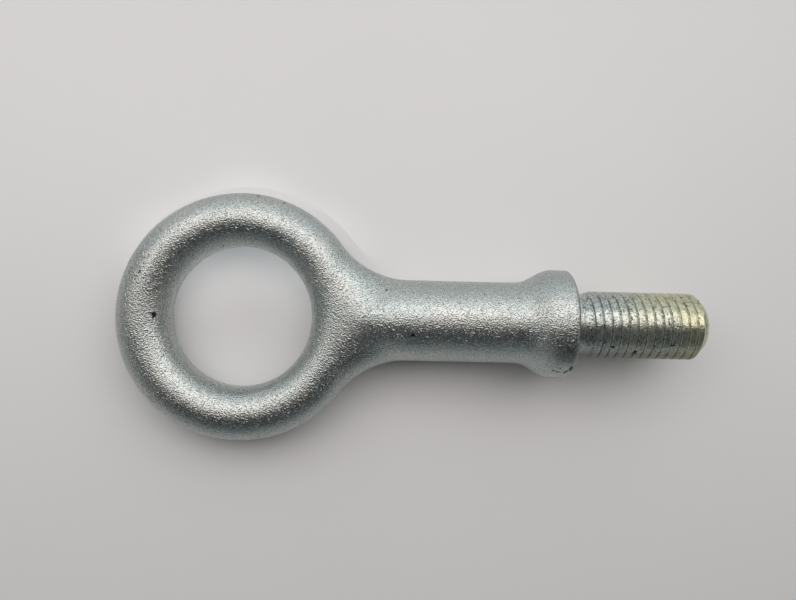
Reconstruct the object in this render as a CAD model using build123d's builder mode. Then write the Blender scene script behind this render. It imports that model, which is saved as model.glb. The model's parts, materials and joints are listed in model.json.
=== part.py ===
from build123d import *
import os
from math import asin, atan2, cos, hypot, sin, sqrt

# Tow eye: ring, shank, flared shoulder and stud, forged as one piece of steel.
# The forging is drawn with the ring's centre at the origin, the ring flat in XY and the shank along +X.
# It is then laid on a level surface as it comes to rest: on the ring's far side and on the shoulder.

# Ring, in millimetres
hole_dia = 33.3  # eye as punched
bar_dia = 12.9  # ring's round bar, as forged
punch_depth = 0.15  # metal that the punch shaves off the inside of the ring

# Shank and its neck into the ring
shank_dia = 19.5
neck_radius = 20.0  # blend all round between ring and shank
nose_cover = 1.3  # ring metal over the nose where the shank runs into the bar
nose_lead = 1.5  # the nose reaches the shank's full diameter this far past the blend
nose_rounds = 8  # rounds that the nose is drawn through

# Flared shoulder
seat_distance = 77.4  # eye's centre to seat
shoulder_dia = 25.8
shoulder_land = 3.9  # straight rim
flare_length = 8.2  # hollow at the shank, crowned at the rim
rim_chamfer = 0.4

# Stud, a plain wall at the thread's outer diameter
thread_dia = 16.0
stud_length = 32.3
tip_chamfer = 2.0

# Radii that follow
bar_r = bar_dia / 2
ring_r = hole_dia / 2 + bar_r - punch_depth
shank_r = shank_dia / 2
shoulder_r = shoulder_dia / 2
thread_r = thread_dia / 2

# Nose: its outline is an arc that ends along the shank
neck_end = sqrt((ring_r + bar_r + neck_radius) ** 2 - (shank_r + neck_radius) ** 2)
nose_end = neck_end + nose_lead
nose_length = nose_end - ring_r
nose_rise = shank_r - (bar_r - nose_cover)
nose_arc_r = (nose_length**2 + nose_rise**2) / (2 * nose_rise)

# Stations along the shank that follow
flare_end = seat_distance - shoulder_land
flare_start = flare_end - flare_length
flare_handle = flare_length / 3
tip = seat_distance + stud_length

with BuildPart() as forging:
    # Ring, drawn on its far side so that its seam lies opposite the neck
    with BuildSketch(Plane.XZ):
        with Locations((-ring_r, 0)):
            Circle(bar_r)
    revolve(axis=Axis.Z)

    # Nose of the shank, from inside the ring's bar to the shank's full diameter
    for step in range(nose_rounds):
        left = nose_length * (1 - step / (nose_rounds - 1))
        with BuildSketch(Plane.YZ.offset(nose_end - left)):
            Circle(shank_r - nose_arc_r + sqrt(nose_arc_r**2 - left**2))
    loft()

    # Neck, blended all round the line where the nose leaves the ring
    fillet(forging.edges(Select.NEW), neck_radius)

    # Shank, flared shoulder and stud
    with BuildSketch(Plane.XZ):
        with BuildLine():
            Polyline((tip, 0), (nose_end, 0), (nose_end, shank_r), (flare_start, shank_r))
            Bezier(
                (flare_start, shank_r),
                (flare_start + flare_handle, shank_r),
                (flare_end - flare_handle, shoulder_r),
                (flare_end, shoulder_r),
            )
            Polyline(
                (flare_end, shoulder_r),
                (seat_distance - rim_chamfer, shoulder_r),
                (seat_distance, shoulder_r - rim_chamfer),
                (seat_distance, thread_r),
                (tip - tip_chamfer, thread_r),
                (tip, thread_r - tip_chamfer),
                (tip, 0),
            )
        make_face()
    revolve(axis=Axis.X)

    # Punch, which leaves a narrow straight band inside the ring
    with BuildSketch():
        Circle(hole_dia / 2)
    extrude(amount=bar_dia, both=True, mode=Mode.SUBTRACT)

# Rest: a level line touches the ring's far bar and the near edge of the shoulder's rim from below
run = ring_r + flare_end
rest_tilt = atan2(shoulder_r, run) - asin(bar_r / hypot(run, shoulder_r))
along = (cos(rest_tilt), 0, sin(rest_tilt))
upward = (-sin(rest_tilt), 0, cos(rest_tilt))

# The origin lies under the middle of the part's box, on the surface
tilted_box = forging.part.moved(Plane((0, 0, 0), along, upward).location).bounding_box()
lying = Plane((-tilted_box.center().X, 0, -tilted_box.min.Z), along, upward)

with BuildPart(lying) as tow_eye:
    add(forging.part)

tow_eye.part.label = "tow_eye"
os.makedirs("parts", exist_ok=True)
export_step(tow_eye.part, "parts/tow_eye.step")
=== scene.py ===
import json
import math

import bmesh
import bpy
import numpy as np
from mathutils import Matrix, Vector, noise


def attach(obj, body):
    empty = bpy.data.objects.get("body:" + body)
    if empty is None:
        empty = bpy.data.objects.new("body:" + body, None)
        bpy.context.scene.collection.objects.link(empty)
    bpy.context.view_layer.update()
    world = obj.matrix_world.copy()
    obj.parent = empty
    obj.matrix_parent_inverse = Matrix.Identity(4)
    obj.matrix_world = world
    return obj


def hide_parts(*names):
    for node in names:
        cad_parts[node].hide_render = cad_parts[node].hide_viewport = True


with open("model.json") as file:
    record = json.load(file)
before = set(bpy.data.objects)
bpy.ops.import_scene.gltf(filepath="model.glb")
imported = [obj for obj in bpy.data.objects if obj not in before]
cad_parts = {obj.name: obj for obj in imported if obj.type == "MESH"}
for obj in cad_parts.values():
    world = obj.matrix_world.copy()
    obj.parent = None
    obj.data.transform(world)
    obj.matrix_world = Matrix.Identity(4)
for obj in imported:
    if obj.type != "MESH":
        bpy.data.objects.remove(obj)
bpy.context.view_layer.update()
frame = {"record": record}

# A millimetre in metres, and one whole turn
MM = 0.001
TURN = 2 * math.pi

# The forging's sizes in millimetres, with the ring's centre at the origin and the shank along +X
HOLE_R = 16.65
BAR_R = 6.45
PUNCH_DEPTH = 0.15
RING_R = HOLE_R + BAR_R - PUNCH_DEPTH
SHANK_R = 9.75
NECK_R = 20.0
NOSE_COVER = 1.3
NOSE_LEAD = 1.5
SEAT = 77.4
SHOULDER_R = 12.9
LAND = 3.9
FLARE = 8.2
RIM = 0.4
TIP = 109.7
TIP_CHAMFER = 2.0

# The nose's arc, as on the part
NECK_END = math.sqrt((RING_R + BAR_R + NECK_R) ** 2 - (SHANK_R + NECK_R) ** 2)
NOSE_END = NECK_END + NOSE_LEAD
NOSE_RISE = SHANK_R - (BAR_R - NOSE_COVER)
NOSE_ARC = ((NOSE_END - RING_R) ** 2 + NOSE_RISE**2) / (2 * NOSE_RISE)

# Flat left by trimming the flash off the sides, and where along the shank it fades out
TRIM = 0.09
TRIM_ENDS = (58.0, 65.0)

# Right-hand thread with broad crests and narrow grooves
PITCH = 2.0
THREAD_R = 8.0
THREAD_START = 0.42
GROOVE_DEPTH = 0.45
GROOVE_AT = (0.0, 0.06, 0.14, 0.22, 0.30, 0.38, 0.52, 0.74, 1.0)
GROOVE_CUT = (1.0, 0.88, 0.56, 0.24, 0.09, 0.05, 0.02, 0.005, 0.0)

# Relief beside the seat, its run into the first turns, and its share of the groove
RELIEF_R = 7.3
RELIEF = 3.6
RUN_IN = 2.4
RELIEF_GROOVE = 0.25

# Unevenness of the forged skin: its waves, its depth on the ring, and how much deeper it is on the shank
FORGED_ENDS = (62.0, 70.0)
SHANK_BEGINS = (30.0, 42.0)
BROAD_WAVE = 10.0
BROAD_DEPTH = 0.05
BROAD_DEEPER = 0.07
SMALL_WAVE = 3.1
SMALL_SHIFT = Vector((7.0, 3.0, 5.0))
SMALL_DEPTH = 0.02
SMALL_DEEPER = 0.02

# How finely the ring is drawn; its grid has a window where the neck comes in
RING_COLUMNS = 256
COLUMN_STEP = TURN / RING_COLUMNS
ROW_STEP = math.radians(5.0)
WINDOW_COLUMNS = 39
WINDOW_ROWS = 25
WINDOW_FILL = 12
INSIDE_ROWS = 8
BAND_ROWS = 3

# How finely the stem is drawn, how near to a sharp edge its next row lies, and the seat's inner margin
STEM_COLUMNS = 176
NECK_ROWS = 14
NOSE_ROWS = 8
SHANK_ROWS = 33
FLARE_ROWS = 14
LAND_ROWS = 4
SEAT_ROWS = 5
EDGE = 0.12
SEAT_MARGIN = 0.4

# How finely the stud is drawn: the relief, the chamfer that cuts the thread's grooves, and the end face
STUD_COLUMNS = 192
RELIEF_ROWS = 24
GROOVED_CHAMFER = 0.7
GROOVED_ROWS = 7
CHAMFER_ROW = 1.2
END_ROWS = 4
END_R = 1.0

# Halvings and largest lean in the search for the rolling ball, spare turns of the thread, and digits kept
HALVINGS = 60
LARGEST_LEAN = 0.5
SPARE_TURNS = 2
DIGITS = 6


def smooth_step(low, high, value):
    t = np.clip((value - low) / (high - low), 0.0, 1.0)
    return t * t * (3.0 - 2.0 * t)


def steps(start, end, count):
    """Even steps from a start, which is left out, to an end."""
    return np.linspace(start, end, count + 1)[1:]


def turns(count):
    """Angles of evenly spaced points once round."""
    return np.arange(count) * TURN / count


class Shell:
    """Points and faces of one closed surface, drawn row by row."""

    def __init__(self):
        self.points = []
        self.cuts = []
        self.faces = []
        self.total = 0

    def row(self, points, cut=0.0):
        """Adds points with their groove depth, and returns their numbers."""
        numbers = np.arange(self.total, self.total + len(points))
        self.points.append(points)
        self.cuts.append(np.broadcast_to(cut, len(points)))
        self.total += len(points)
        return numbers

    def grow(self, last, points, cut=0.0):
        """Adds a closed row, joins it to the last one with four-sided faces, and returns its numbers."""
        now = self.row(points, cut)
        self.faces += np.stack([last, np.roll(last, -1), np.roll(now, -1), now], axis=1).tolist()
        return now

    def stitch(self, a, b, turn_a, turn_b):
        """Joins two closed rows of different length with triangles, walking round both at once."""
        i, j = 0, 0
        next_a = np.append(turn_a[1:], turn_a[0] + TURN)
        next_b = np.append(turn_b[1:], turn_b[0] + TURN)
        while i < len(a) or j < len(b):
            here_a, here_b = a[i % len(a)], b[j % len(b)]
            if j == len(b) or (i < len(a) and next_a[i] <= next_b[j]):
                self.faces.append([here_a, a[(i + 1) % len(a)], here_b])
                i += 1
            else:
                self.faces.append([here_a, b[(j + 1) % len(b)], here_b])
                j += 1

    def cap(self, a, centre):
        """Closes a row with triangles that meet at a point."""
        middle = self.row(np.array([centre]))[0]
        self.faces += [[p, q, middle] for p, q in zip(a, np.roll(a, -1))]


def round_row(x, radius, count):
    """A row of points once round the shank's axis."""
    angle = turns(count)
    return np.stack([np.broadcast_to(x, count), radius * np.cos(angle), radius * np.sin(angle)], axis=1)


def torus(u, v):
    """Points on the ring, from the angle round its axis and the angle round its bar."""
    u, v = np.broadcast_arrays(u, v)
    rho = RING_R + BAR_R * np.cos(v)
    return np.stack([rho * np.cos(u), rho * np.sin(u), BAR_R * np.sin(v)], axis=-1)


def torus_angles(points):
    """Both angles of points on the ring."""
    x, y, z = points.T
    return np.stack([np.arctan2(y, x), np.arctan2(z, np.hypot(x, y) - RING_R)], axis=1)


def nose_radius(x):
    left = np.clip(NOSE_END - x, 0.0, None)
    return SHANK_R - NOSE_ARC + np.sqrt(NOSE_ARC**2 - left**2)


def neck_contacts(angle):
    """Centres of the ball that rolls round the neck, and where it touches the ring and the nose."""
    reach = NOSE_ARC + NECK_R
    low, high = np.zeros_like(angle), np.full_like(angle, LARGEST_LEAN)
    for _ in range(HALVINGS):
        lean = (low + high) / 2
        x = NOSE_END - reach * np.sin(lean)
        rho = SHANK_R - NOSE_ARC + reach * np.cos(lean)
        side, height = rho * np.cos(angle), rho * np.sin(angle)
        away = np.hypot(np.hypot(x, side) - RING_R, height) > BAR_R + NECK_R
        low, high = np.where(away, lean, low), np.where(away, high, lean)
    ball = np.stack([x, side, height], axis=1)
    nose_x = NOSE_END - NOSE_ARC * np.sin(lean)
    nose_r = SHANK_R - NOSE_ARC * (1 - np.cos(lean))
    nose = round_row(nose_x, nose_r, len(angle))
    spine = torus(np.arctan2(side, x), 0.0) * RING_R / (RING_R + BAR_R)
    out = ball - spine
    ring = spine + BAR_R * out / np.linalg.norm(out, axis=1, keepdims=True)
    return ball, ring, nose


def trim_ring(points):
    """The punch's band inside the ring and the trimmed flat outside it."""
    rho = np.hypot(points[:, 0], points[:, 1])
    scale = np.clip(rho, HOLE_R, RING_R + BAR_R - TRIM) / rho
    return points * np.stack([scale, scale, np.ones_like(scale)], axis=1)


def trim_neck(points, centre):
    """The trimmed flat along the hollow sides of the neck."""
    side = np.where(points[:, 1] < 0.0, -1.0, 1.0)
    dx, dy = points[:, 0] - centre[0], np.abs(points[:, 1]) - centre[1]
    gap = np.hypot(dx, dy)
    push = np.clip((NECK_R + TRIM) / gap, 1.0, None)
    hollow = points[:, 0] < centre[0]
    x = np.where(hollow, centre[0] + dx * push, points[:, 0])
    y = np.where(hollow, side * (centre[1] + dy * push), points[:, 1])
    return np.stack([x, y, points[:, 2]], axis=1)


def trim_shank(points):
    """The trimmed flat along both sides of the shank."""
    depth = TRIM * (1.0 - smooth_step(*TRIM_ENDS, points[:, 0]))
    limit = np.hypot(points[:, 1], points[:, 2]) - depth
    y = np.clip(points[:, 1], -limit, limit)
    return np.stack([points[:, 0], y, points[:, 2]], axis=1)


def ring_rows():
    """Angles of the grid's rows round the bar: the window's rows, then the inside with the punch's band."""
    band_edge = math.asin(math.sqrt(BAR_R**2 - (RING_R - HOLE_R) ** 2) / BAR_R)
    outside = np.arange(-WINDOW_ROWS, WINDOW_ROWS + 1) * ROW_STEP
    inside = steps(outside[-1], math.pi - band_edge, INSIDE_ROWS)
    band = steps(math.pi - band_edge, math.pi + band_edge, BAND_ROWS + 1)[:-1]
    return np.concatenate([outside, inside, band, TURN - inside[::-1]])


def add_ring_grid(shell):
    """The ring's grid with its window left open. Returns its points' numbers by column and row."""
    rows = ring_rows()
    top = 2 * WINDOW_ROWS
    number = np.full((RING_COLUMNS, len(rows)), -1)
    for i in range(RING_COLUMNS):
        in_window = min(i, RING_COLUMNS - i) < WINDOW_COLUMNS
        used = [j for j in range(len(rows)) if not (in_window and 0 < j < top)]
        number[i, used] = shell.row(trim_ring(torus(i * COLUMN_STEP, rows[used])))
    for i in range(RING_COLUMNS):
        in_window = i < WINDOW_COLUMNS or i >= RING_COLUMNS - WINDOW_COLUMNS
        for j in range(top if in_window else 0, len(rows)):
            a, b = (i + 1) % RING_COLUMNS, (j + 1) % len(rows)
            shell.faces.append([number[i, j], number[a, j], number[a, b], number[i, b]])
    return number


def window_border():
    """Columns and rows of the window's border, counted from its middle, once round from its right side."""
    right, top = WINDOW_COLUMNS, WINDOW_ROWS
    border = [(right, row) for row in range(0, top)]
    border += [(column, top) for column in range(right, -right, -1)]
    border += [(-right, row) for row in range(top, -top, -1)]
    border += [(column, -top) for column in range(-right, right)]
    border += [(right, row) for row in range(-top, 0)]
    return np.array(border)


def turns_of(pairs):
    """Angles of points on a plane, each within one turn."""
    return np.arctan2(pairs[:, 1], pairs[:, 0]) % TURN


def add_ring(shell, edge, edge_row):
    """The ring: rows that spread from the neck's edge to the window, and the grid round it."""
    window = np.array([WINDOW_COLUMNS * COLUMN_STEP, WINDOW_ROWS * ROW_STEP])
    angles = torus_angles(edge)
    out = 1.0 / np.max(np.abs(angles) / window, axis=1, keepdims=True)
    last = edge_row
    for k in range(1, WINDOW_FILL):
        spread = angles * (1.0 + (out - 1.0) * k / WINDOW_FILL)
        last = shell.grow(last, trim_ring(torus(spread[:, 0], spread[:, 1])))
    number = add_ring_grid(shell)
    border = window_border()
    border_row = number[border[:, 0], border[:, 1] + WINDOW_ROWS]
    border_turns = turns_of(border / np.array([WINDOW_COLUMNS, WINDOW_ROWS]))
    shell.stitch(last, border_row, turns_of(angles / window), border_turns)


def add_stem(shell):
    """Ring, neck, shank, flared shoulder and seat. Returns the last row on the seat."""
    ball, ring, nose = neck_contacts(turns(STEM_COLUMNS))
    last = shell.row(trim_neck(trim_ring(ring), ball[0]))
    add_ring(shell, ring, last)

    to_ring, to_nose = (ring - ball) / NECK_R, (nose - ball) / NECK_R
    bend = np.arccos(np.sum(to_ring * to_nose, axis=1, keepdims=True))
    for k in range(1, NECK_ROWS + 1):
        t = k / NECK_ROWS
        arc = (np.sin((1 - t) * bend) * to_ring + np.sin(t * bend) * to_nose) / np.sin(bend)
        last = shell.grow(last, trim_neck(ball + NECK_R * arc, ball[0]))

    for k in range(1, NOSE_ROWS + 1):
        x = nose[:, 0] + (NOSE_END - nose[:, 0]) * k / NOSE_ROWS
        points = trim_shank(round_row(x, nose_radius(x), STEM_COLUMNS))
        last = shell.grow(last, trim_neck(points, ball[0]))

    for x, radius in stem_profile():
        last = shell.grow(last, trim_shank(round_row(x, radius, STEM_COLUMNS)))
    return last


def stem_profile():
    """Stations and radii from the shank's start to the seat's inner edge."""
    flare_end = SEAT - LAND
    flare_start = flare_end - FLARE
    rows = [(x, SHANK_R) for x in steps(NOSE_END, flare_start, SHANK_ROWS)]
    rows += flare_profile(flare_start, flare_end)
    rows += [(x, SHOULDER_R) for x in steps(flare_end, SEAT - RIM, LAND_ROWS)]
    rows += [(SEAT - RIM / 2, SHOULDER_R - RIM / 2), (SEAT, SHOULDER_R - RIM)]
    seat = np.linspace(SHOULDER_R - RIM - EDGE, RELIEF_R + SEAT_MARGIN, SEAT_ROWS)
    rows += [(SEAT, radius) for radius in seat]
    return rows


def flare_profile(start, end):
    """Stations and radii of the flare, which is hollow at the shank and crowned at the rim."""
    handle = FLARE / 3
    t = steps(0.0, 1.0, FLARE_ROWS)
    weights = ((1 - t) ** 3, 3 * (1 - t) ** 2 * t, 3 * (1 - t) * t**2, t**3)
    stations = (start, start + handle, end - handle, end)
    radii = (SHANK_R, SHANK_R, SHOULDER_R, SHOULDER_R)
    x = sum(w * s for w, s in zip(weights, stations))
    r = sum(w * s for w, s in zip(weights, radii))
    return list(zip(x, r))


def thread_cut(x, angle):
    """Depth of the thread's groove, as a share of the deepest."""
    phase = ((x - SEAT - THREAD_START) / PITCH - angle / TURN) % 1.0
    mirrored = np.minimum(phase, 1.0 - phase) * 2.0
    return np.interp(mirrored, GROOVE_AT, GROOVE_CUT)


def stud_points(x, largest):
    """A row of points round the stud with their groove depth, shallower in the relief."""
    share = 1.0 - (1.0 - RELIEF_GROOVE) * min(1.0, (THREAD_R - largest) / (THREAD_R - RELIEF_R))
    cut = share * thread_cut(x, turns(STUD_COLUMNS))
    return round_row(x, largest - GROOVE_DEPTH * cut, STUD_COLUMNS), cut


def add_stud(shell, seat_row):
    """Relief, thread, chamfered end and end face."""
    relief_end = SEAT + RELIEF
    start, end = relief_end + RUN_IN, TIP - TIP_CHAMFER
    last = shell.row(*stud_points(SEAT, RELIEF_R))
    shell.stitch(seat_row, last, turns(STEM_COLUMNS), turns(STUD_COLUMNS))
    for x in (*steps(SEAT, relief_end, RELIEF_ROWS), *steps(relief_end, start, RELIEF_ROWS)):
        rise = max(0.0, x - SEAT - RELIEF) / RUN_IN
        last = shell.grow(last, *stud_points(x, RELIEF_R + (THREAD_R - RELIEF_R) * rise))
    last = add_thread(shell, last, start, end)
    grooved = steps(end, end + GROOVED_CHAMFER, GROOVED_ROWS)
    for x in (*grooved, end + CHAMFER_ROW, TIP - EDGE, TIP):
        last = shell.grow(last, *stud_points(x, THREAD_R - (x - end)))
    for radius in np.linspace(THREAD_R - TIP_CHAMFER - EDGE, END_R, END_ROWS):
        last = shell.grow(last, round_row(TIP, radius, STUD_COLUMNS))
    shell.cap(last, (TIP, 0.0, 0.0))


def climbing_rows(start, end):
    """Stations at which rows that climb with the thread begin, and how many rows make one turn."""
    half = np.array(GROOVE_AT[:-1]) / 2
    offsets = np.unique(np.round(np.concatenate([half, [0.5], 1.0 - half[1:]]), DIGITS))
    whole_turns = range(-SPARE_TURNS, int((end - start) / PITCH) + SPARE_TURNS + 1)
    climb = np.array([turn + offset for turn in whole_turns for offset in offsets])
    climb = climb * PITCH + SEAT + THREAD_START
    climb -= math.floor((climb[0] - start) / PITCH + SPARE_TURNS) * PITCH
    return climb, len(offsets)


def add_thread(shell, first, start, end):
    """Rows that climb with the thread, held back at both ends. Returns the last row."""
    climb, per_turn = climbing_rows(start, end)
    angle = turns(STUD_COLUMNS)
    known = [{round(start, DIGITS): number} for number in first]

    def crossing(i, j):
        """Number of the point where a climbing row crosses a column."""
        if j == STUD_COLUMNS:
            i, j = i + per_turn, 0
        x = round(float(np.clip(climb[i] + PITCH * angle[j] / TURN, start, end)), DIGITS)
        if x not in known[j]:
            cut = thread_cut(x, angle[j])
            radius = THREAD_R - GROOVE_DEPTH * cut
            point = [x, radius * math.cos(angle[j]), radius * math.sin(angle[j])]
            known[j][x] = shell.row(np.array([point]), cut)[0]
        return known[j][x]

    for i in range(len(climb) - per_turn - 1):
        for j in range(STUD_COLUMNS):
            corners = [crossing(i, j), crossing(i, j + 1), crossing(i + 1, j + 1), crossing(i + 1, j)]
            face = list(dict.fromkeys(corners))
            if len(face) > 2:
                shell.faces.append(face)
    return np.array([column[round(end, DIGITS)] for column in known])


def unevenness(point):
    """How far the forged skin lies under its nominal form, in millimetres."""
    forged = 1.0 - float(smooth_step(*FORGED_ENDS, point.x))
    on_shank = float(smooth_step(*SHANK_BEGINS, point.x))
    broad = 0.5 + 0.5 * noise.noise(point / BROAD_WAVE)
    small = 0.5 + 0.5 * noise.noise(point / SMALL_WAVE + SMALL_SHIFT)
    broad_depth = BROAD_DEPTH + BROAD_DEEPER * on_shank
    small_depth = SMALL_DEPTH + SMALL_DEEPER * on_shank
    return forged * (broad_depth * broad + small_depth * small)


def placement(record):
    """From the forging's own axes in millimetres to the row frame in metres."""
    mounts = {mount["name"]: mount for mount in record["mounts"]}
    along, up = Vector(mounts["thread"]["axis"]), Vector(mounts["eye"]["axis"])
    turned = Matrix((along, up.cross(along), up)).transposed().to_4x4()
    return Matrix.Translation(mounts["eye"]["pos_m"]) @ turned @ Matrix.Scale(MM, 4)


PLACE = placement(frame["record"])


def put_in_scene(name, data):
    made = bpy.data.objects.new(name, data)
    bpy.context.scene.collection.objects.link(made)
    return made


def keep_values(mesh, name, values):
    """Stores one value at each point, for the material."""
    mesh.attributes.new(name, "FLOAT", "POINT").data.foreach_set("value", values)


def roughen(mesh):
    """Turns all faces outward and sinks the points by the skin's unevenness."""
    draft = bmesh.new()
    draft.from_mesh(mesh)
    bmesh.ops.recalc_face_normals(draft, faces=draft.faces)
    for vertex in draft.verts:
        vertex.co -= vertex.normal * unevenness(vertex.co)
    draft.to_mesh(mesh)
    draft.free()


def build_forging():
    shell = Shell()
    seat_row = add_stem(shell)
    add_stud(shell, seat_row)
    points = np.concatenate(shell.points)
    mesh = bpy.data.meshes.new("tow_eye_skin")
    mesh.from_pydata(points.tolist(), [], shell.faces)
    roughen(mesh)
    mesh.polygons.foreach_set("use_smooth", np.ones(len(mesh.polygons), dtype=bool))
    keep_values(mesh, "groove", np.concatenate(shell.cuts))
    keep_values(mesh, "along", points[:, 0])
    mesh.transform(PLACE)
    return put_in_scene("tow_eye_skin", mesh)


def add_node(tree, kind, inputs=None, **settings):
    """A node with its settings, and each input either linked or set."""
    made = tree.nodes.new(kind)
    for name, value in settings.items():
        setattr(made, name, value)
    for name, value in (inputs or {}).items():
        if isinstance(value, bpy.types.NodeSocket):
            tree.links.new(value, made.inputs[name])
        else:
            made.inputs[name].default_value = value
    return made


def noise_at(tree, coords, scale, detail, output="Fac"):
    inputs = {"Vector": coords, "Scale": scale, "Detail": detail}
    return add_node(tree, "ShaderNodeTexNoise", inputs).outputs[output]


def cells_at(tree, coords, scale):
    """Cells round scattered points."""
    return add_node(tree, "ShaderNodeTexVoronoi", {"Vector": coords, "Scale": scale}).outputs


def stored(tree, name):
    """A value that the mesh stores at its points."""
    return add_node(tree, "ShaderNodeAttribute", attribute_name=name).outputs["Fac"]


def parts_of(tree, vector):
    return add_node(tree, "ShaderNodeSeparateXYZ", {0: vector}).outputs


def span(tree, value, from_low, from_high, to_low=0.0, to_high=1.0):
    """A smooth run between two results while a value runs between two limits."""
    inputs = {"Value": value, "From Min": from_low, "From Max": from_high}
    inputs.update({"To Min": to_low, "To Max": to_high})
    return add_node(tree, "ShaderNodeMapRange", inputs, interpolation_type="SMOOTHSTEP").outputs["Result"]


def blend_colour(tree, share, a, b):
    """A mix of two colours, which are the node's inputs 6 and 7 and its output 2."""
    return add_node(tree, "ShaderNodeMix", {0: share, 6: a, 7: b}, data_type="RGBA").outputs[2]


def sums(tree, operation, a, b=0.0):
    return add_node(tree, "ShaderNodeMath", {0: a, 1: b}, operation=operation).outputs[0]


def product(tree, a, b):
    return sums(tree, "MULTIPLY", a, b)


def largest_of(tree, values):
    whole = values[0]
    for value in values[1:]:
        whole = sums(tree, "MAXIMUM", whole, value)
    return whole


def vectors(tree, operation, inputs, output="Vector"):
    return add_node(tree, "ShaderNodeVectorMath", inputs, operation=operation).outputs[output]


def new_material(name):
    """A material with its node tree, its shader and the place on the object in metres."""
    material = bpy.data.materials.new(name)
    material.use_nodes = True
    tree = material.node_tree
    coords = add_node(tree, "ShaderNodeTexCoord").outputs["Object"]
    return material, tree, tree.nodes["Principled BSDF"], coords


# Spots of dirt and pits: their place in the forging's own millimetres, and their size
RING_SPOTS = (
    ((-19.0, 0.1, 5.1), 0.85), ((-21.9, 9.9, 6.3), 0.35), ((-22.6, 8.8, 6.3), 0.35),
    ((-16.3, -5.6, 3.1), 0.35), ((-16.6, -0.8, 1.3), 0.3), ((-4.2, 16.5, 2.4), 0.4),
    ((3.7, 28.4, 3.0), 0.4), ((9.8, 26.8, 3.2), 0.55), ((13.9, 25.1, 2.9), 0.35), ((5.3, -27.9, 3.4), 0.45),
)
SHANK_SPOTS = (
    ((40.3, -3.1, 9.2), 0.6), ((56.7, 6.5, 7.3), 0.4), ((34.0, 6.9, 6.2), 0.3), ((50.0, 7.8, 5.8), 0.25),
)
SHOULDER_SPOTS = (
    ((72.9, -10.6, 7.2), 0.5), ((74.0, -11.0, 6.8), 0.55), ((74.3, -10.1, 8.0), 0.4),
    ((75.6, -11.0, 6.7), 0.6), ((76.2, -10.6, 7.3), 0.6), ((76.7, -10.1, 7.9), 0.75),
    ((76.8, -9.8, 8.4), 0.6),
)
STUD_SPOTS = (
    ((92.6, -6.3, 4.9), 0.9), ((100.9, -4.2, 6.8), 0.6), ((99.3, 0.9, 7.9), 0.45),
    ((87.0, -5.0, 6.3), 0.5), ((96.8, -4.7, 6.4), 0.4), ((87.7, 6.7, 4.3), 0.5), ((90.5, 3.7, 7.1), 0.35),
)
SPOTS = RING_SPOTS + SHANK_SPOTS + SHOULDER_SPOTS + STUD_SPOTS

# Share of a spot that is fully dark, and the noise that makes its edge uneven, with its width in metres
SPOT_CORE = 0.6
SHAKES = (1600.0, 1.0)
SHAKE = 0.0014

# Thin film of dirt on the shoulder: its place and reach in millimetres, its core's share and its depth
FILM_AT = (75.6, -6.8, 11.0)
FILM_REACH = 4.0
FILM_CORE = 0.3
FILM_DEPTH = 0.45

# Noises in the plating: how many waves to the metre, and how much detail
PATCHES = (130.0, 3.0)
CLOUDS = (45.0, 2.0)
FLECKS = (1900.0, 1.0)
MOTTLES = (1000.0, 4.0)
RIPPLES = (1100.0, 1.0)

# Plating's colours
ZINC = ((0.51, 0.56, 0.55, 1.0), (0.565, 0.592, 0.575, 1.0))
STUD_ZINC = (0.55, 0.60, 0.57, 1.0)
PIT_DARK = (0.16, 0.17, 0.165, 1.0)
YELLOWED = (0.645, 0.625, 0.42, 1.0)
# The dark that dirt, wear and the painted shade all blend towards
DIRT_AND_SHADE = (0.03, 0.028, 0.025, 1.0)

# Half the length over which the forged skin's look changes to the stud's at the seat, in millimetres
SEAT_BLUR = 0.2

# Limits of the colours' masks, and what a mask runs between where that isn't 0 and 1
ZINC_BY_PATCH = (0.35, 0.65)
PIT_EDGE = (0.5, 0.22, 0.0, 0.9)
YELLOW_ALONG = (84.0, 104.0)
YELLOW_BY_CLOUD = (0.3, 0.6)

# Limits of the masks for painted shade in the grooves and for wear all over the stud, in the same way
GROOVE_SHADE = (0.3, 1.0)
GROOVE_SHADE_BY_PATCH = (0.4, 0.7, 0.0, 0.4)
WORN_BY_MOTTLE = (0.42, 0.68, 0.0, 0.38)

# Flecks on the stud, and their share on the forged skin
FLECK_EDGE = (0.61, 0.69, 0.0, 0.85)
FORGED_FLECKS = 0.15

# Painted shade towards the stud's south underside by its place in metres, and painted shade along the
# shoulder's rim where the stud meets it, by its station
STUD_SOUTH_SHADE = (-0.0046, -0.0074, 0.0, 0.75)
RIM_SHADE_FROM = (SEAT - 0.45, SEAT - 0.15, 0.0, 0.5)
RIM_SHADE_TO = (SEAT + 0.6, SEAT)

# Roughness by patch, how much smoother the stud is, and how metallic
ROUGH_BY_PATCH = (0.3, 0.7, 0.30, 0.35)
STUD_SMOOTHER = 0.09
STUD_METALLIC = 0.85

# Blasted dimples and pits to the metre, and how steep the dimples are, each by chance a little more or less
DIMPLES = 2900.0
PITS = 3300.0
STEEP_FORGED = 1080.0
STEEP_STUD = 380.0
STEEP_BY_CHANCE = (0.2, 1.0, 0.7, 1.9)

# Depth of the ripples in metres, and their share on the stud
RIPPLE_DEPTH = 0.00003
STUD_RIPPLES = 0.5


def by_part(tree, stud, forged_value, stud_value):
    """One value on the forged skin and another on the stud."""
    return span(tree, stud, 0.0, 1.0, forged_value, stud_value)


def ragged(tree, coords):
    """Coordinates shaken a little, so that spots get uneven edges."""
    shake = noise_at(tree, coords, *SHAKES, output="Color")
    shift = vectors(tree, "SUBTRACT", {0: shake, 1: (0.5, 0.5, 0.5)})
    return vectors(tree, "MULTIPLY_ADD", {0: shift, 1: (SHAKE, SHAKE, SHAKE), 2: coords})


def near(tree, coords, point, reach, core, depth=1.0):
    """A mask that fades out from a core round a point to its reach."""
    away = vectors(tree, "DISTANCE", {0: coords, 1: PLACE @ Vector(point)}, output="Value")
    return span(tree, away, reach * MM, reach * MM * core, 0.0, depth)


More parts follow.
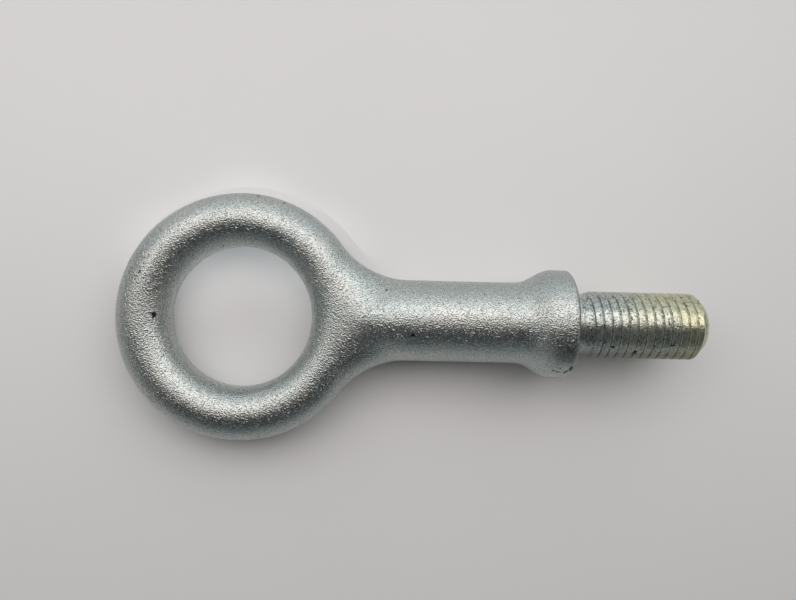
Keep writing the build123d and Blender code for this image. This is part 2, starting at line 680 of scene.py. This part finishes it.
def plating_tint(tree, coords, along, stud, patch):
    """Zinc in two shades with dark pits, which turns yellow along the stud."""
    pits = cells_at(tree, coords, PITS)["Distance"]
    cloud = noise_at(tree, coords, *CLOUDS)
    tint = blend_colour(tree, span(tree, patch, *ZINC_BY_PATCH), *ZINC)
    tint = blend_colour(tree, stud, tint, STUD_ZINC)
    tint = blend_colour(tree, span(tree, pits, *PIT_EDGE), tint, PIT_DARK)
    yellow = product(tree, span(tree, along, *YELLOW_ALONG), span(tree, cloud, *YELLOW_BY_CLOUD))
    return blend_colour(tree, yellow, tint, YELLOWED)


def dirt_and_shade_mask(tree, coords, along, stud, patch):
    """How dark dirt, wear and painted shade make the plating; the painted shade lies in the grooves, on the
    stud's south underside and along the shoulder's rim.
    """
    fleck = noise_at(tree, coords, *FLECKS)
    mottle = noise_at(tree, coords, *MOTTLES)
    north = parts_of(tree, coords)["Y"]
    shaken = ragged(tree, coords)
    # Painted shade in the thread's grooves, by their depth, stronger in some patches
    shaded_grooves = span(tree, stored(tree, "groove"), *GROOVE_SHADE)
    masks = [
        product(tree, shaded_grooves, span(tree, patch, *GROOVE_SHADE_BY_PATCH)),
        product(tree, by_part(tree, stud, FORGED_FLECKS, 1.0), span(tree, fleck, *FLECK_EDGE)),
        product(tree, stud, span(tree, mottle, *WORN_BY_MOTTLE)),
        # Painted shade, darker towards the stud's south underside
        product(tree, stud, span(tree, north, *STUD_SOUTH_SHADE)),
        # Painted shade along the shoulder's rim where the stud meets it
        product(tree, span(tree, along, *RIM_SHADE_FROM), span(tree, along, *RIM_SHADE_TO)),
        near(tree, shaken, FILM_AT, FILM_REACH, FILM_CORE, FILM_DEPTH),
    ]
    masks += [near(tree, shaken, point, size, SPOT_CORE) for point, size in SPOTS]
    return largest_of(tree, masks)


def dimpled(tree, coords, steep):
    """The surface's direction, which leans towards the middle of each blasted dimple."""
    facing = add_node(tree, "ShaderNodeNewGeometry").outputs["Normal"]
    cells = cells_at(tree, coords, DIMPLES)
    inward = vectors(tree, "SUBTRACT", {0: cells["Position"], 1: coords})
    chance = parts_of(tree, cells["Color"])["X"]
    steep = product(tree, steep, span(tree, chance, *STEEP_BY_CHANCE))
    lean = vectors(tree, "SCALE", {0: inward, "Scale": steep})
    return vectors(tree, "NORMALIZE", {0: vectors(tree, "ADD", {0: facing, 1: lean})})


def blasted(tree, coords, stud):
    """The surface's direction with dimples and fine ripples, both fainter on the stud."""
    dimples = dimpled(tree, coords, by_part(tree, stud, STEEP_FORGED, STEEP_STUD))
    height = product(tree, noise_at(tree, coords, *RIPPLES), by_part(tree, stud, 1.0, STUD_RIPPLES))
    inputs = {"Height": height, "Strength": 1.0, "Distance": RIPPLE_DEPTH, "Normal": dimples}
    return add_node(tree, "ShaderNodeBump", inputs).outputs["Normal"]


def plated_steel():
    material, tree, shader, coords = new_material("plated_steel")
    along = stored(tree, "along")
    stud = span(tree, along, SEAT - SEAT_BLUR, SEAT + SEAT_BLUR)
    patch = noise_at(tree, coords, *PATCHES)
    tint = plating_tint(tree, coords, along, stud, patch)
    dirt_and_shade = dirt_and_shade_mask(tree, coords, along, stud, patch)
    rough = span(tree, patch, *ROUGH_BY_PATCH)
    rough = sums(tree, "SUBTRACT", rough, product(tree, stud, STUD_SMOOTHER))
    # Dirt, wear and painted shade darken the plating's tint
    tree.links.new(blend_colour(tree, dirt_and_shade, tint, DIRT_AND_SHADE), shader.inputs["Base Color"])
    tree.links.new(rough, shader.inputs["Roughness"])
    tree.links.new(by_part(tree, stud, 1.0, STUD_METALLIC), shader.inputs["Metallic"])
    tree.links.new(blasted(tree, coords, stud), shader.inputs["Normal"])
    return material


# Round table top, in metres, with its two shades and their clouds
TABLE_R = 0.45
TABLE_SIDES = 128
TABLE_SHADES = ((0.85, 0.86, 0.868, 1.0), (0.87, 0.88, 0.888, 1.0))
TABLE_CLOUDS = (9.0, 3.0)
TABLE_BY_CLOUD = (0.3, 0.7)
TABLE_ROUGHNESS = 0.55


def table_top():
    material, tree, shader, coords = new_material("table_top")
    cloud = noise_at(tree, coords, *TABLE_CLOUDS)
    colour = blend_colour(tree, span(tree, cloud, *TABLE_BY_CLOUD), *TABLE_SHADES)
    tree.links.new(colour, shader.inputs["Base Color"])
    shader.inputs["Roughness"].default_value = TABLE_ROUGHNESS
    return material


def lay_floor():
    mesh = bpy.data.meshes.new("floor")
    rim = [(TABLE_R * math.cos(turn), TABLE_R * math.sin(turn), 0.0) for turn in turns(TABLE_SIDES)]
    mesh.from_pydata(rim, [], [range(TABLE_SIDES)])
    mesh.materials.append(table_top())
    return put_in_scene("floor", mesh)


# Room's colours from the level south over the top to the level north, by shares of that half turn
ROOM = (
    (0.0, (0.31, 0.345, 0.345)),
    (0.10, (0.17, 0.19, 0.195)),
    (0.18, (0.04, 0.047, 0.051)),
    (0.47, (0.055, 0.054, 0.053)),
    (0.54, (0.34, 0.29, 0.26)),
    (0.66, (0.50, 0.50, 0.49)),
    (0.80, (0.78, 0.83, 0.845)),
    (1.0, (0.80, 0.85, 0.865)),
)

# Its colour beyond both ends of the part, and how much of a direction lies along X where that takes over
ROOM_ENDS = (0.29, 0.29, 0.28, 1.0)
ROOM_ENDS_FROM = (0.62, 0.92)


def room_ramp(tree, parts):
    """The room's colour by its angle round the part's length."""
    north = sums(tree, "ARCTAN2", parts["Y"], parts["Z"])
    limits = {"Value": north, "From Min": -math.pi / 2, "From Max": math.pi / 2}
    share = add_node(tree, "ShaderNodeMapRange", limits).outputs["Result"]
    ramp = add_node(tree, "ShaderNodeValToRGB", {"Fac": share})
    stops = ramp.color_ramp.elements
    while len(stops) < len(ROOM):
        stops.new(0.5)
    for stop, (at, colour) in zip(stops, ROOM):
        stop.position = at
        stop.color = (*colour, 1.0)
    return ramp.outputs["Color"]


def light_room():
    world = bpy.data.worlds.new("room")
    bpy.context.scene.world = world
    world.use_nodes = True
    tree = world.node_tree
    tree.nodes.clear()
    parts = parts_of(tree, add_node(tree, "ShaderNodeTexCoord").outputs["Generated"])
    aside = span(tree, sums(tree, "ABSOLUTE", parts["X"]), *ROOM_ENDS_FROM)
    colour = blend_colour(tree, aside, room_ramp(tree, parts), ROOM_ENDS)
    glow = add_node(tree, "ShaderNodeBackground", {"Color": colour, "Strength": 1.0})
    add_node(tree, "ShaderNodeOutputWorld", {"Surface": glow.outputs[0]})


# Softbox that leans over the part from the north, in metres and watts
SOFTBOX_AWAY = 0.26
SOFTBOX_LEAN = math.radians(24.5)
SOFTBOX_SIZE = (0.59, 0.192)
SOFTBOX_ASIDE = -0.040
SOFTBOX_POWER = 0.51
SOFTBOX_COLOUR = (1.0, 0.93, 0.905)


def hang_softbox():
    light = bpy.data.lights.new("softbox", "AREA")
    light.shape = "RECTANGLE"
    light.size, light.size_y = SOFTBOX_SIZE
    light.energy = SOFTBOX_POWER
    light.color = SOFTBOX_COLOUR
    north = SOFTBOX_AWAY * math.sin(SOFTBOX_LEAN)
    height = SOFTBOX_AWAY * math.cos(SOFTBOX_LEAN)
    lamp = put_in_scene("softbox", light)
    lamp.location = (SOFTBOX_ASIDE, north, height)
    lamp.rotation_euler = (-SOFTBOX_LEAN, 0.0, 0.0)
    lamp.visible_camera = False


# Small lamps for the table inside the ring's north side, which the ring hides from the softbox
HOLE_LAMP_TURNS = (math.radians(40.0), math.radians(90.0), math.radians(140.0))

# How far from the ring's centre they aim, in millimetres, and the rest in metres and watts
HOLE_LAMP_REACH = 20.0
HOLE_LAMP_AWAY = 0.22
HOLE_LAMP_LEAN = math.radians(17.0)
HOLE_LAMP_CONE = math.radians(6.4)
HOLE_LAMP_BLEND = 1.0
HOLE_LAMP_R = 0.01
HOLE_LAMP_POWER = 0.87
HOLE_LAMP_COLOUR = (0.95, 0.98, 1.0)


def hole_light():
    light = bpy.data.lights.new("hole_lamp", "SPOT")
    light.energy = HOLE_LAMP_POWER
    light.color = HOLE_LAMP_COLOUR
    light.spot_size = HOLE_LAMP_CONE
    light.spot_blend = HOLE_LAMP_BLEND
    light.shadow_soft_size = HOLE_LAMP_R
    return light


def hang_hole_lamps():
    """Each lamp leans from the middle of the hole out to the ring, and metal doesn't show it."""
    for turn in HOLE_LAMP_TURNS:
        outward = Vector((math.cos(turn), math.sin(turn), 0.0))
        aim = PLACE @ (HOLE_LAMP_REACH * outward)
        aim.z = 0.0
        beam = outward * math.sin(HOLE_LAMP_LEAN) - Vector((0.0, 0.0, math.cos(HOLE_LAMP_LEAN)))
        lamp = put_in_scene("hole_lamp", hole_light())
        lamp.location = aim - HOLE_LAMP_AWAY * beam
        lamp.rotation_euler = beam.to_track_quat("-Z", "Y").to_euler()
        lamp.visible_camera = False
        lamp.visible_glossy = False


# Camera over the part, in metres and degrees, with its lens and sensor in millimetres
CAMERA_AT = (-0.017156, 0.003544, 0.155532)
CAMERA_TURN = (0.4950, -5.4497, 1.4166)
CAMERA_NEAR = 0.005
LENS = 27.434
SENSOR = 36.0


def aim_camera():
    camera = bpy.data.cameras.new("camera")
    camera.lens = LENS
    camera.sensor_width = SENSOR
    camera.sensor_fit = "HORIZONTAL"
    camera.clip_start = CAMERA_NEAR
    eye = put_in_scene("camera", camera)
    eye.location = CAMERA_AT
    eye.rotation_mode = "ZYX"
    eye.rotation_euler = [math.radians(turn) for turn in CAMERA_TURN]
    bpy.context.scene.camera = eye


skin = build_forging()
skin.data.materials.append(plated_steel())
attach(skin, "root")
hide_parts("tow_eye")
lay_floor()
light_room()
hang_softbox()
hang_hole_lamps()
aim_camera()
bpy.context.scene.view_settings.view_transform = "Standard"
